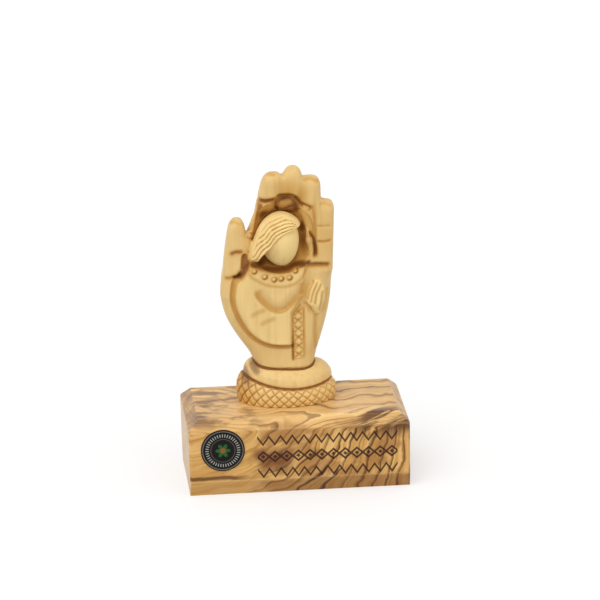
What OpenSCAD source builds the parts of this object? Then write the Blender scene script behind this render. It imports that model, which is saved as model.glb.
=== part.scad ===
// A carved hand with a small praying figure in its palm, on a bevelled wooden block.
// Origin at the middle of the block's underside, front towards -Y, millimetres.

/* [Block] */
// Width of the block, left to right
block_w = 100; // [92:1:120]
// Depth of the block, front to back
block_d = 51; // [48:1:64]
// Height of the block
block_h = 35.3; // [32:0.1:42]
// Bevel along the top edges, the same across and down
top_bevel = 4.5; // [2:0.5:6]
// Height of the steep bevel along the foot, in front and behind
foot_bevel_h = 7.2; // [4:0.1:10]
// Depth of that bevel at the underside
foot_bevel_d = 3.1; // [1:0.1:5]
// Bevel of the four upright corners
corner_bevel = 1; // [0.5:0.1:2]
// How far the left end, which is sawn out of square, lies in at the front
end_skew = 2; // [0:0.1:3]

/* [Carving] */
// Height of the carving from the block's top to the middle fingertip
carving_h = 108.5; // [90:0.5:125]
// Middle of the carving's foot, left or right of the block's middle
carving_x = -3; // [-10:0.5:10]
// Middle of the carving's foot, behind the block's middle
carving_y = 3.5; // [-2:0.5:5]
// Half width of the wrist
wrist_half = 13.8; // [12:0.1:15]
// Half width of the palm at its widest
palm_half = 24.2; // [23:0.1:26]
// Half thickness of the wrist
wrist_deep = 9.6; // [9:0.1:10]
// Half thickness of the palm
palm_deep = 10.3; // [9.5:0.1:11]
// How far the figure's robe stands above the palm
robe_relief = 2.2; // [1.5:0.1:3]

/* [Cuff] */
// Diamonds round the lattice ring
diamonds = 28; // [24:1:44]
// Rows of diamonds up the lattice ring
diamond_rows = 2; // [2:1:4]
// Depth of the cuts between the diamonds
diamond_cut = 0.8; // [0.3:0.1:1.2]

/* [Label] */
// Diameter of the round label
label_d = 19.4; // [12:0.1:20]
// Thickness of the label
label_t = 0.5; // [0.2:0.1:1]
// Middle of the label, from the block's middle
label_x = -33.2; // [-36:0.1:-28]
// Middle of the label, above the underside
label_z = 22.1; // [20:0.1:24]

/* [Screw] */
// Diameter of the screw's shank
screw_d = 4; // [3:0.5:5]
// Diameter of the screw's countersunk head
screw_head_d = 8; // [7:0.5:9]
// Length of the screw, head included
screw_len = 50; // [46:1:52]
// How far the screw's head is sunk into the underside
screw_sunk = 0.5; // [0.2:0.1:1.5]

/* [Hidden] */

pale_wood = "#e0bd7a";
figured_wood = "#c08a4a";
steel = "#b8b8ba";
label_black = "#17171a";

// The carving is laid out at this height and then scaled to carving_h
drawn_h = 108.5;
carving_scale = carving_h / drawn_h;
// Clearance round the screw, and overlap that keeps cuts clear of faces
fit_gap = 0.1;
over = 1;
// Corners of the hand's sections and of the cuff's rings
hand_sides = 40;
finger_sides = 20;
cuff_sides = 2 * diamonds;
// Corners of other round forms, from the label's edge to the finest cuts
label_sides = 96;
bore_sides = 48;
hollow_sides = 36;
head_sides = 24;
collar_sides = 12;
rod_sides = 8;
cut_sides = 6;
// Squareness of the hand's sections: 1 is an oval, less is squarer
hand_power = 0.66;
finger_power = 0.62;

// Heights on the carving, from the block's top
lattice_h = 8;
wrist_z = 18;
palm_z = 56;
palm_end_z = 74;
// Middle of the wrist across, how far the palm's middle lies towards the thumb, and their middle in depth
wrist_middle = -0.3;
palm_lean = -2.8;
palm_middle_y = -0.2;
// Swell of the thumb's side on the way up from the wrist, as a shift and as half a width, and where it ends
heel_swell = 0.65;
heel_end_z = 52;
// How soon the palm reaches its width above the wrist
opening_power = 1.2;

// A number from 0 to 1 for the rise of v from low to high
function share(v, low, high) = min(1, max(0, (v - low) / (high - low)));

// How far the hand has opened from the wrist, 0, to the palm, 1
function opening(z) = pow(sin(90 * share(z, wrist_z, palm_z)), opening_power);

// The quarter round that closes the palm over its widest place
function closing(z) = sqrt(1 - pow(share(z, palm_z, palm_end_z), 2));

// The swell of the thumb's side
function heel(z) = heel_swell * sin(180 * share(z, wrist_z, heel_end_z));

// A section of the palm at height z: height, middle across, middle in depth, half width, half depth
function palm_row(z) = [
    z,
    wrist_middle + palm_lean * opening(z) - heel(z),
    palm_middle_y,
    (wrist_half + (palm_half - wrist_half) * opening(z)) * closing(z) + heel(z),
    (wrist_deep + (palm_deep - wrist_deep) * opening(z)) * sqrt(closing(z))
];

// Depth of the palm's front face at x, z
function front_y(x, z) =
    let (row = palm_row(min(z, palm_z)), reach = min(1, abs(x - row[1]) / row[3]))
    row[2] - row[4] * pow(1 - pow(reach, 2 / hand_power), hand_power / 2);

// A point on the palm's front, raised above it by lift
function on_palm(p, lift = 0) = [p[0], front_y(p[0], p[1]) - lift, p[1]];

function squared(v, power) = sign(v) * pow(abs(v), power);

// The corners of a section, counter-clockwise from above
function section(row, sides, power) = [
    for (k = [0:sides - 1])
        let (a = 360 * k / sides)
        [row[1] + row[3] * squared(cos(a), power), row[2] + row[4] * squared(sin(a), power), row[0]]
];

// Skins a stack of rings that have the same number of corners
module skin(rings) {
    sides = len(rings[0]);
    last = len(rings) - 1;
    walls = [
        for (i = [0:last - 1], k = [0:sides - 1])
            let (a = i * sides + k, b = i * sides + (k + 1) % sides)
            each [[a, a + sides, b], [a + sides, b + sides, b]]
    ];
    base = [for (k = [0:sides - 1]) k];
    top = [for (k = [sides - 1:-1:0]) last * sides + k];
    polyhedron([for (ring = rings) each ring], concat([base, top], walls));
}

module loft(rows, sides, power) {
    skin([for (row = rows) section(row, sides, power)]);
}

// A rounded rod through the points, for grooves, bands and folds
module rod(points, r, sides = rod_sides) {
    for (i = [0:len(points) - 2])
        hull() {
            translate(points[i]) sphere(r, $fn = sides);
            translate(points[i + 1]) sphere(r, $fn = sides);
        }
}

// One skin round a set of balls, given as a place and a radius
module pebble(balls, sides = collar_sides) {
    hull()
        for (ball = balls)
            translate(ball[0]) sphere(ball[1], $fn = sides);
}

module ellipsoid(middle, radii, sides) {
    translate(middle) scale(radii) sphere(1, $fn = sides);
}

// The block

// Section from front to back, with a bevel along each long edge
module long_profile() {
    half = block_d / 2;
    polygon([
        [-half + foot_bevel_d, 0],
        [half - foot_bevel_d, 0],
        [half, foot_bevel_h],
        [half, block_h - top_bevel],
        [half - top_bevel, block_h],
        [-half + top_bevel, block_h],
        [-half, block_h - top_bevel],
        [-half, foot_bevel_h]
    ]);
}

// All that lies behind an end of the block, from its foot inwards, with a bevel along the top
module behind_end() {
    inside = 2 * block_w;
    rotate([90, 0, 0])
        linear_extrude(2 * inside, center = true)
            polygon([[0, 0], [inside, 0], [inside, block_h], [top_bevel, block_h], [0, block_h - top_bevel]]);
}

// The block from above, with its corners cut off and its ends left long
module block_plan() {
    x = block_w / 2;
    y = block_d / 2;
    c = corner_bevel;
    long = c + over;
    left = -x + end_skew;
    polygon([
        [left + c, -y], [x - c, -y], [x + over, -y + long], [x + over, y - long],
        [x - c, y], [-x + c, y], [-x - over, y - long], [left - over, -y + long]
    ]);
}

module base_block() {
    x = block_w / 2;
    pivot_y = block_d / 2 - corner_bevel;
    skew_angle = atan(end_skew / (block_d - corner_bevel));
    color(figured_wood)
        difference() {
            intersection() {
                rotate([90, 0, 90])
                    linear_extrude(block_w + 2 * over, center = true) long_profile();
                translate([x, 0, 0]) mirror([1, 0, 0]) behind_end();
                translate([-x, pivot_y, 0]) rotate([0, 0, skew_angle]) behind_end();
                translate([0, 0, -over]) linear_extrude(block_h + 2 * over) block_plan();
            }
            translate([carving_x, carving_y, 0]) screw_hole();
        }
}

// Height of the screw's cone, and the holes round its head and shank
head_h = (screw_head_d - screw_d) / 2;
head_hole_d = screw_head_d + 2 * fit_gap;
shank_hole_d = screw_d + 2 * fit_gap;

// Countersink and clearance hole, from the underside up
module screw_hole() {
    translate([0, 0, -over]) cylinder(h = screw_sunk + over, d = head_hole_d, $fn = bore_sides);
    translate([0, 0, screw_sunk])
        cylinder(h = head_h, d1 = head_hole_d, d2 = shank_hole_d, $fn = bore_sides);
    cylinder(h = block_h + over, d = shank_hole_d, $fn = bore_sides);
}

// The screw

// Width, thickness and depth of the cross recess in the screw's head
recess_w = 4.4;
recess_t = 1.2;
recess_depth = 1.2;

module fixing_screw() {
    r = screw_d / 2;
    head_r = screw_head_d / 2;
    tip_len = screw_d;
    color(steel)
        translate([carving_x, carving_y, screw_sunk])
            difference() {
                rotate_extrude($fn = bore_sides)
                    polygon([
                        [0, 0], [head_r, 0], [r, head_h], [r, screw_len - tip_len], [0, screw_len]
                    ]);
                for (turn = [0, 90])
                    rotate([0, 0, turn]) cube([recess_w, recess_t, 2 * recess_depth], center = true);
            }
}

// The label

module round_label() {
    r = label_d / 2;
    edge = label_t / 2;
    color(label_black)
        translate([label_x, -block_d / 2, label_z])
            rotate([90, 0, 0])
                rotate_extrude($fn = label_sides)
                    polygon([[0, 0], [r, 0], [r, label_t - edge], [r - edge, label_t], [0, label_t]]);
}

// The hand

// Index, middle, ring and little finger, then the thumb: root, tip, half width at each,
// length and squareness of the rounded tip, and how late the finger narrows
fingers = [
    [[-8.6, -2.2, 66], [-3.3, -4.2, 106.2], 6, 4.3, 5, 2.8, 1],
    [[3.6, -2.2, 66], [5.3, -3.6, 108.5], 5.4, 4.6, 8.5, 2.3, 1],
    [[12.6, -2.4, 62], [12.8, -3, 103.6], 5, 4.7, 5, 2.8, 1],
    [[17.4, -2.6, 54], [20, -2.4, 92.8], 4.4, 3.4, 4.4, 2.6, 1],
    [[-21.3, -1.6, 42], [-20.1, -4.4, 86.4], 6.8, 3, 7, 2.3, 2.2]
];
finger_deep = 6.4;
finger_tip_deep = 4.8;
// The share of a finger over which its root sinks into the palm, and its size there
root_share = 0.18;
root_size = 0.5;
// How late the fingers bend forward
bend_power = 1.4;
// Narrowest end of a fingertip, which leaves it blunt
tip_size = 0.3;
finger_steps = 8;
tip_steps = 5;

// A section of a finger, at share t of its length
function finger_row(finger, t) =
    let (
        root = finger[0],
        tip = finger[1],
        length = tip[2] - root[2],
        tip_share = max(0, 1 - (1 - t) * length / finger[4]),
        blunt = max(tip_size, pow(1 - pow(tip_share, finger[5]), 1 / finger[5])),
        sunk = root_size + (1 - root_size) * share(t, 0, root_share),
        taper = pow(t, finger[6]),
        bend = pow(t, bend_power)
    )
    [
        root[2] + length * t,
        root[0] + (tip[0] - root[0]) * t,
        root[1] + (tip[1] - root[1]) * bend,
        (finger[2] + (finger[3] - finger[2]) * taper) * blunt * sunk,
        (finger_deep + (finger_tip_deep - finger_deep) * t) * blunt * sunk
    ];

module finger(f) {
    straight_end = 1 - f[4] / (f[1][2] - f[0][2]);
    body = [for (i = [0:finger_steps - 1]) straight_end * i / finger_steps];
    end = [for (i = [0:tip_steps]) straight_end + (1 - straight_end) * sin(90 * i / tip_steps)];
    loft([for (t = concat(body, end)) finger_row(f, t)], finger_sides, finger_power);
}

// The block of wood at the roots of the fingers: height, middle across and in depth, half width and depth
finger_base = [
    [46, 1, 0, 16, 8.6],
    [60, 2.5, 0.3, 19.3, 9.9],
    [70, 2.8, 0.7, 19.5, 9.2],
    [78, 3.4, 0.4, 18.9, 7.4],
    [85, 4.4, -0.4, 17, 5.2],
    [90, 5, -1, 14, 2.5]
];

// Wood that joins neighbouring fingers: two sections each, as above
finger_webs = [
    [[78, -0.4, -3.7, 3.2, 4], [103, -0.2, -4, 3, 3.6]],
    [[78, 8.6, -3.2, 3.2, 4], [101.6, 8.8, -3.4, 3, 3.6]],
    [[58, 16.4, -2.6, 2.8, 4.4], [92, 16.8, -2.6, 2.8, 4]]
];
// Wood that joins the thumb to the palm, as two places and a radius
thumb_web = [[-17.8, -3.4, 60], [-16.6, -4, 74.6]];
thumb_web_round = 4.4;

palm_step = 4;

module hand() {
    loft([for (z = [lattice_h:palm_step:palm_end_z - 1]) palm_row(z)], hand_sides, hand_power);
    loft(finger_base, hand_sides, hand_power);
    for (f = fingers)
        finger(f);
    for (web = finger_webs)
        loft(web, collar_sides, hand_power);
    rod(thumb_web, thumb_web_round, collar_sides);
}

// Cuts between the fingers on the back of the hand
back_cuts = [
    [[-2.2, 10, 68], [-1.8, 8, 77.5], [-1.2, 5, 84.5], [-0.8, 1.4, 90.5], [-0.3, -0.6, 98]],
    [[8.4, 10, 66], [8.4, 8, 77.5], [8.6, 4.9, 84.5], [8.8, 1.4, 90.5], [9, -0.4, 98]],
    [[16, 8.9, 64], [16.2, 8.5, 70], [16.4, 7, 78], [16.6, 4, 85], [16.8, 0.8, 90.5]]
];
back_cut_round = 1.1;

// Creases of the palm's side, each with its radius: two on the little finger, under the pads of the index
// and ring fingers, at the thumb's joint, and two between the thumb and the palm
creases = [
    [0.6, [[15.6, -7.4, 74.4], [18.8, -8.3, 74.3], [21, -7.8, 74.7]]],
    [0.9, [[10.8, -9.2, 64.4], [15, -8.6, 64.2], [19.4, -8.4, 63.9]]],
    [0.9, [[-9.4, -7.8, 94.2], [-7, -8.7, 94], [-3.8, -8.9, 94.3]]],
    [0.9, [[6, -8.2, 94.6], [8.6, -7.6, 91.8], [12, -8.2, 90]]],
    [0.7, [[-22.6, -8.3, 70.6], [-20.6, -8.7, 71.2], [-18.6, -8.4, 71.2]]],
    [1.3, [[-17.2, -9, 69.6], [-17.9, -10.6, 65]]],
    [1.1, [[-15.6, -9.4, 66.8], [-17.6, -9.4, 62.8], [-19.5, -9.2, 60.6], [-24.4, -8, 59.2]]]
];

module hand_cuts() {
    for (cut = back_cuts)
        rod(cut, back_cut_round);
    for (crease = creases)
        rod(crease[1], crease[0]);
}

// The hollow that the figure's head lies in, with a deeper pocket under the finger pads
hollow_middle = [-1.6, -12.5, 77];
hollow_radii = [15.4, 12.5, 17.2];
pocket_middle = [1.4, -10, 92.4];
pocket_radii = [6.4, 8, 4.4];

module hollow() {
    ellipsoid(hollow_middle, hollow_radii, hollow_sides);
    ellipsoid(pocket_middle, pocket_radii, finger_sides);
}

// The figure

// Middle, half sizes and tilt of the plain face, and of the hair swept back over it
face_middle = [-1.6, -7.6, 75.9];
face_radii = [8.8, 9, 11.8];
face_tilt = 6;
hair_middle = [-4.4, -7.6, 79];
hair_radii = [12.3, 9.4, 8.8];
hair_tilt = -40;

// Cuts between the strands: how many, how far round the hair, and points along each
strand_count = 7;
strand_turns = [15, 115];
strand_ends = 66;
strand_steps = 4;
strand_round = 0.55;

// A point of strand k, at angle along from one end of the hair to the other
function strand_point(k, along) =
    let (round = strand_turns[0] + (strand_turns[1] - strand_turns[0]) * k / (strand_count - 1))
    [
        hair_radii[0] * sin(along),
        -hair_radii[1] * cos(along) * sin(round),
        hair_radii[2] * cos(along) * cos(round)
    ];

module on_hair() {
    translate(hair_middle) rotate([0, hair_tilt, 0]) children();
}

module head() {
    translate(face_middle) rotate([0, face_tilt, 0]) scale(face_radii) sphere(1, $fn = head_sides);
    on_hair() scale(hair_radii) sphere(1, $fn = head_sides);
}

module strand_cuts() {
    on_hair()
        for (k = [0:strand_count - 1])
            rod([
                for (i = [0:strand_steps])
                    strand_point(k, strand_ends * (2 * i / strand_steps - 1))
            ], strand_round, cut_sides);
}

// Places on the palm, across and up, with how much higher than its rim the robe is there
robe_balls = [
    [-16.4, 56.6, 0], [-19.4, 51, 0], [-18.4, 44, 0], [-13.6, 37, 0], [-7, 33.2, 0], [0.4, 32.4, 0],
    [2.4, 43, 0], [3.4, 53, 0], [-8, 58, 0], [-12, 48, 1], [-9, 42, 1.1], [-3, 40, 0.9], [-13, 53, 0.8]
];
robe_round = 4;

module robe() {
    pebble([for (b = robe_balls) [on_palm(b, robe_relief + b[2] - robe_round), robe_round]]);
}

collar_path = [[-15, 65], [-11.4, 62.2], [-7.4, 60.2], [-3, 59.4], [1.2, 59.8], [4.6, 61.6], [7, 64.4]];
collar_round = 3.6;
collar_lift = 2;
groove_path = [
    [-21.4, 59.5], [-23.4, 55.6], [-24, 51.6], [-23.4, 47], [-21.8, 42.6], [-19.4, 38.2], [-16.2, 34.4],
    [-12, 31.2], [-7, 29.2], [-2, 28.4], [2.4, 28.2]
];
groove_round = 1.5;
groove_lift = 0.2;
lapel_path = [[-12, 56.4], [-10, 51.8], [-7, 47.6], [-3.4, 45.4], [0.4, 45.4], [3.8, 47.2], [6.6, 50.4]];
lapel_round = 1.1;
lapel_lift = 0.8;

module collar() {
    rod([for (p = collar_path) on_palm(p, collar_lift - collar_round)], collar_round, collar_sides);
}

// Round studs along the collar
studs = [[-13.2, 63.6], [-8.7, 60.9], [-4.6, 59.5], [-1.5, 59.7], [2.2, 60.2], [4.9, 62.4]];
stud_round = 1.1;
stud_lift = 0.6;

module collar_studs() {
    for (p = studs)
        translate(on_palm(p, collar_lift + stud_lift - stud_round)) sphere(stud_round, $fn = rod_sides);
}

// The flat band down the robe's edge, laid along the palm in thin slices
hem_path = [[5.2, 22.6], [5.2, 30], [5.2, 38], [5.2, 45.5]];
hem_w = 5;
hem_t = 3;
hem_lift = 1.4;
hem_slice = 0.4;

module hem_band() {
    for (i = [0:len(hem_path) - 2])
        hull()
            for (p = [hem_path[i], hem_path[i + 1]])
                translate(on_palm(p, hem_lift - hem_t / 2)) cube([hem_w, hem_t, hem_slice], center = true);
}

// Crossed cuts down the hem band: how many, their radius, and their reach as shares of the band and a cell
hem_cells = 6;
hem_cut_round = 0.4;
hem_cut_w = 0.8;
hem_cut_h = 0.9;

module hem_cuts() {
    low = hem_path[0];
    high = hem_path[len(hem_path) - 1];
    cell = (high[1] - low[1]) / hem_cells;
    reach_x = hem_cut_w * hem_w / 2;
    reach_z = hem_cut_h * cell / 2;
    for (i = [0:hem_cells - 1], side = [-1, 1])
        let (middle = [low[0], low[1] + cell * (i + 1 / 2)])
        rod([
            for (end = [-1, 1])
                on_palm(middle + end * [side * reach_x, reach_z], hem_lift)
        ], hem_cut_round, cut_sides);
}

// The plain fall of the robe beside the hem
fall_path = [[10.4, 22.8], [10.6, 32], [11.4, 42]];
fall_round = 2.6;
fall_lift = 1;

module robe_fall() {
    rod([for (p = fall_path) on_palm(p, fall_lift - fall_round)], fall_round);
}

// The joined hands, as places on the palm, across and up, with a radius
joined_balls = [
    [11.4, 48.7, 2], [12.8, 55.7, 1.7], [14.8, 55.9, 1.7], [16.6, 49.9, 2], [15.4, 43.5, 2.2], [11.6, 43.3, 2]
];
joined_lift = 2.4;

module praying_hands() {
    pebble([for (b = joined_balls) [on_palm(b, joined_lift - b[2]), b[2]]]);
}

finger_cuts = [
    [[10.4, 48.9], [12.2, 56.3]],
    [[12.4, 47.7], [14, 56.7]],
    [[14.8, 47.9], [15.6, 55.7]]
];
finger_cut_round = 0.6;
finger_cut_lift = 0.2;

module figure() {
    head();
    robe();
    collar();
    collar_studs();
    hem_band();
    robe_fall();
    praying_hands();
}

module figure_cuts() {
    rod([for (p = groove_path) on_palm(p, groove_lift)], groove_round);
    rod([for (p = lapel_path) on_palm(p, robe_relief + lapel_lift)], lapel_round);
    for (cut = finger_cuts)
        rod([for (p = cut) on_palm(p, joined_lift + finger_cut_lift)], finger_cut_round);
    strand_cuts();
    hem_cuts();
    chest_scoop();
}

// The shallow hollow between the collar and the sleeve's edge
scoop_at = [-2, 52.4];
scoop_lift = 1.6;
scoop_radii = [10, 2.6, 6.6];

module chest_scoop() {
    ellipsoid(on_palm(scoop_at, robe_relief + scoop_lift), scoop_radii, head_sides);
}

// The cuff

// The cuff dips at the front and back: how much higher its rings are at the sides
lattice_rise = 3.4;
roll_rise = 2.4;
// The cuff also leans: its rise at the middle and for each millimetre across, and how far right its rings sit
cuff_lift = 0.3;
cuff_tilt = -0.085;
lattice_shift = 0.5;
roll_shift = 1.2;

function cuff_rise(x) = cuff_lift + cuff_tilt * x;

// Height as a share of the ring, half width and half depth, up the lattice ring
lattice_rows = [[0, 22, 15.2], [0.35, 22.7, 15.9], [0.7, 22.3, 15.5], [1, 20.2, 13.7]];
// Height, half width and half depth up the plain roll
roll_rows = [
    [6.4, 18.5, 12.8], [7.8, 19.7, 13.9], [9.8, 20, 14.2], [12, 19.5, 13.8],
    [14, 18.1, 12.7], [15.4, 16.2, 11.2], [16, 14.2, 9.8]
];

// Turns that even out the spacing of the diamonds round the oval
spacing_shift = 5.3;

function lattice_angle(i) = let (a = 360 * i / cuff_sides) a + spacing_shift * sin(2 * a);

function lattice_size(j, axis) =
    lookup(j / (2 * diamond_rows), [for (row = lattice_rows) [row[0], row[axis]]]);

// A corner of the lattice: on a cut's crossing, or on the top of a diamond
function lattice_point(i, j) =
    let (
        a = lattice_angle(i),
        cut = (i + j) % 2 == 0 ? diamond_cut : 0,
        x = (lattice_size(j, 1) - cut) * cos(a) + lattice_shift,
        height = lattice_h + lattice_rise * pow(cos(a), 2) + cuff_rise(x)
    )
    [x, (lattice_size(j, 2) - cut) * sin(a), height * j / (2 * diamond_rows)];

// Each face is split along the cut, so the diamonds stand up as low pyramids
module lattice_ring() {
    steps = 2 * diamond_rows;
    walls = [
        for (j = [0:steps - 1], i = [0:cuff_sides - 1])
            let (
                a = j * cuff_sides + i,
                b = j * cuff_sides + (i + 1) % cuff_sides,
                c = a + cuff_sides,
                d = b + cuff_sides
            )
            each (i + j) % 2 == 0 ? [[a, d, b], [a, c, d]] : [[a, c, b], [c, d, b]]
    ];
    base = [for (i = [0:cuff_sides - 1]) i];
    top = [for (i = [cuff_sides - 1:-1:0]) steps * cuff_sides + i];
    points = [for (j = [0:steps], i = [0:cuff_sides - 1]) lattice_point(i, j)];
    polyhedron(points, concat([base, top], walls));
}

module roll_ring() {
    skin([
        for (row = roll_rows)
            [
                for (k = [0:hand_sides - 1])
                    let (a = 360 * k / hand_sides, x = row[1] * cos(a) + roll_shift)
                    [x, row[2] * sin(a), row[0] + roll_rise * pow(cos(a), 2) + cuff_rise(x)]
            ]
    ]);
}

module pilot_hole() {
    depth = screw_sunk + screw_len - block_h + over;
    translate([0, 0, -over]) cylinder(h = depth + over, d = shank_hole_d, $fn = head_sides);
}

module hand_carving() {
    color(pale_wood)
        translate([carving_x, carving_y, block_h])
            difference() {
                scale(carving_scale)
                    difference() {
                        union() {
                            difference() {
                                hand();
                                hollow();
                            }
                            figure();
                            lattice_ring();
                            roll_ring();
                        }
                        figure_cuts();
                        hand_cuts();
                    }
                pilot_hole();
            }
}

base_block();
hand_carving();
fixing_screw();
round_label();
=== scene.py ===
import math
from functools import partialmethod

import bpy
import numpy as np
from mathutils import Matrix, Vector


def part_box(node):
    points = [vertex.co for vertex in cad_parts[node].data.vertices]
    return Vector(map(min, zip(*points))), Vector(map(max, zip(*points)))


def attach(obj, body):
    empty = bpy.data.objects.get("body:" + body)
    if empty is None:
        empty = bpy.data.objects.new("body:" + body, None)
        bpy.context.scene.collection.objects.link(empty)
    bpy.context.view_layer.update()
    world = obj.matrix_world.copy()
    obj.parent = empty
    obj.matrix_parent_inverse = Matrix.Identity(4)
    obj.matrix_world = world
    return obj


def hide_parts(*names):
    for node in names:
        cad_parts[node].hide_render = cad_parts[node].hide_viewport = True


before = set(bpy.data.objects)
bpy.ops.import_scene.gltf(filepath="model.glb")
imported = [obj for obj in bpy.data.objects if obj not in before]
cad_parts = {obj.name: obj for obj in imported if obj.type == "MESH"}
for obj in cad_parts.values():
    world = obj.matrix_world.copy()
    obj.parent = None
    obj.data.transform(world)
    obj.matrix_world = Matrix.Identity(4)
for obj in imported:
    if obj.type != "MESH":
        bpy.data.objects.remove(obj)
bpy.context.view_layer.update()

MM = 0.001

# Where the solids stand, in metres
BLOCK_LOW, BLOCK_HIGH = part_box("base_block")
SCREW_LOW, SCREW_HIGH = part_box("fixing_screw")
LABEL_LOW, LABEL_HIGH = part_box("round_label")
FOOT = (*np.add(SCREW_LOW, SCREW_HIGH)[:2] / 2, BLOCK_HIGH[2])

# The carving is sculpted in millimetres from the middle of its foot, on this grid
VOXEL = 0.4
GRID_LOW = (-29.0, -19.0, -1.0)
GRID_HIGH = (25.0, 18.0, 110.0)
# The distance of empty room
FAR = 50.0


# Numbers and curves

def share(v, low, high):
    """0 at low, 1 at high, and straight between them."""
    return np.clip((v - low) / (high - low), 0.0, 1.0)


def ease(v, low, high):
    """0 at low, 1 at high, and smooth between them."""
    t = share(v, low, high)
    return t * t * (3.0 - 2.0 * t)


def fade(v, low, high):
    """1 at low, 0 at high, and smooth between them."""
    return 1.0 - ease(v, low, high)


def bell(distance, width):
    """1 at no distance, falling away over width."""
    return np.exp(-np.square(distance / width))


def spot(x, z, middle, reach):
    """1 in the middle of a soft oval, falling away over its reach across and up."""
    return bell(np.hypot((x - middle[0]) / reach[0], (z - middle[1]) / reach[1]), 1.0)


def dome(distance, reach):
    """0 at an edge, rising as a quarter round to 1 at reach inside it."""
    return np.sqrt(1.0 - np.square(1.0 - share(distance, 0.0, reach)))


def smooth_min(a, b, blend):
    """The lesser of two distances, with their meeting rounded over blend."""
    if blend <= 0:
        return np.minimum(a, b)
    h = np.clip(0.5 + 0.5 * (b - a) / blend, 0.0, 1.0)
    return b + (a - b) * h - blend * h * (1.0 - h)


def smooth_max(a, b, blend):
    return -smooth_min(-a, -b, blend)


def smooth_path(points, steps=6):
    """A polyline on a smooth curve through the points."""
    p = np.asarray(points, float)
    ends = np.vstack([2 * p[0] - p[1], p, 2 * p[-1] - p[-2]])
    out = []
    for i in range(len(p) - 1):
        a, b, c, d = ends[i:i + 4]
        for u in np.arange(steps) / steps:
            bend = u * u * (a - 2.5 * b + 2 * c - 0.5 * d)
            twist = u ** 3 * (1.5 * (b - c) + 0.5 * (d - a))
            out.append(b + u * (c - a) / 2 + bend + twist)
    out.append(p[-1])
    return np.array(out)


def path_distance(x, z, points, smooth=True):
    """Distance from each x, z to the path."""
    line = smooth_path(points) if smooth and len(points) > 2 else np.asarray(points, float)
    best = np.full(np.broadcast(x, z).shape, FAR ** 2)
    for a, b in zip(line[:-1], line[1:]):
        run = b - a
        t = np.clip(((x - a[0]) * run[0] + (z - a[1]) * run[1]) / (run @ run + 1e-9), 0.0, 1.0)
        best = np.minimum(best, np.square(x - a[0] - t * run[0]) + np.square(z - a[1] - t * run[1]))
    return np.sqrt(best)


def area_distance(x, z, outline):
    """Distance from a closed outline, positive inside it."""
    line = np.vstack([outline, outline[:1]])
    inside = np.zeros(np.broadcast(x, z).shape, bool)
    for (ax, az), (bx, bz) in zip(line[:-1], line[1:]):
        if az != bz:
            inside ^= ((az > z) != (bz > z)) & (x < ax + (z - az) * (bx - ax) / (bz - az))
    d = path_distance(x, z, line, smooth=False)
    return np.where(inside, d, -d)


# Solid forms, as distances in millimetres

def oval(x, y, middle_x, middle_y, half_x, half_y, power):
    """Distance from a squared oval in a level plane."""
    u = np.abs(x - middle_x) / half_x
    v = np.abs(y - middle_y) / half_y
    r = np.power(np.power(u, power) + np.power(v, power) + 1e-9, 1.0 / power)
    slope_x = np.power(u / r, power - 1.0) / half_x
    slope_y = np.power(v / r, power - 1.0) / half_y
    return (r - 1.0) / np.sqrt(np.square(slope_x) + np.square(slope_y) + 1e-9)


def ellipsoid(u, v, w, radii):
    """Distance from an oval ball about the origin."""
    a, b, c = u / radii[0], v / radii[1], w / radii[2]
    k = np.sqrt(a * a + b * b + c * c) + 1e-6
    slope = np.sqrt(np.square(a / radii[0]) + np.square(b / radii[1]) + np.square(c / radii[2])) + 1e-6
    return k * (k - 1.0) / slope


def rod(a, b, radius_a, radius_b):
    """A round rod that tapers from a to b."""
    run = np.subtract(b, a)

    def form(x, y, z):
        u, v, w = x - a[0], y - a[1], z - a[2]
        t = np.clip((u * run[0] + v * run[1] + w * run[2]) / (run @ run), 0.0, 1.0)
        d = np.square(u - t * run[0]) + np.square(v - t * run[1]) + np.square(w - t * run[2])
        return np.sqrt(d) - radius_a - (radius_b - radius_a) * t

    return form


# Grids

def along(axis, start, stop):
    """Slices that take part of one axis and all of the others."""
    return tuple(slice(start, stop) if k == axis else slice(None) for k in range(3))


def box_blur(grid, cells, axis):
    """Mean over a run of cells each way along one axis."""
    pad = [(0, 0)] * 3
    pad[axis] = (cells + 1, cells)
    sums = np.cumsum(np.pad(grid, pad, mode="edge"), axis=axis, dtype=np.float64)
    width = 2 * cells + 1
    return ((sums[along(axis, width, None)] - sums[along(axis, None, -width)]) / width).astype(np.float32)


def sampled(grid, at):
    """Values of a grid at places counted in cells, blended from the corners round each."""
    base = np.clip(np.floor(at).astype(int), 0, np.array(grid.shape) - 2)
    t = at - base
    total = np.zeros(len(at))
    for corner in np.ndindex(*[2] * grid.ndim):
        total += np.prod(np.where(corner, t, 1.0 - t), axis=1) * grid[tuple((base + corner).T)]
    return total


def rows_at(rows, v):
    """The values of a table at v, which its first column counts."""
    return [np.interp(v, rows[:, 0], column) for column in rows.T[1:]]


def means(group, rows, count):
    """Means of the rows in each of a count of groups."""
    size = np.bincount(group, minlength=count)
    return np.stack([np.bincount(group, column, count) / size for column in rows.T], axis=1)


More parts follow.
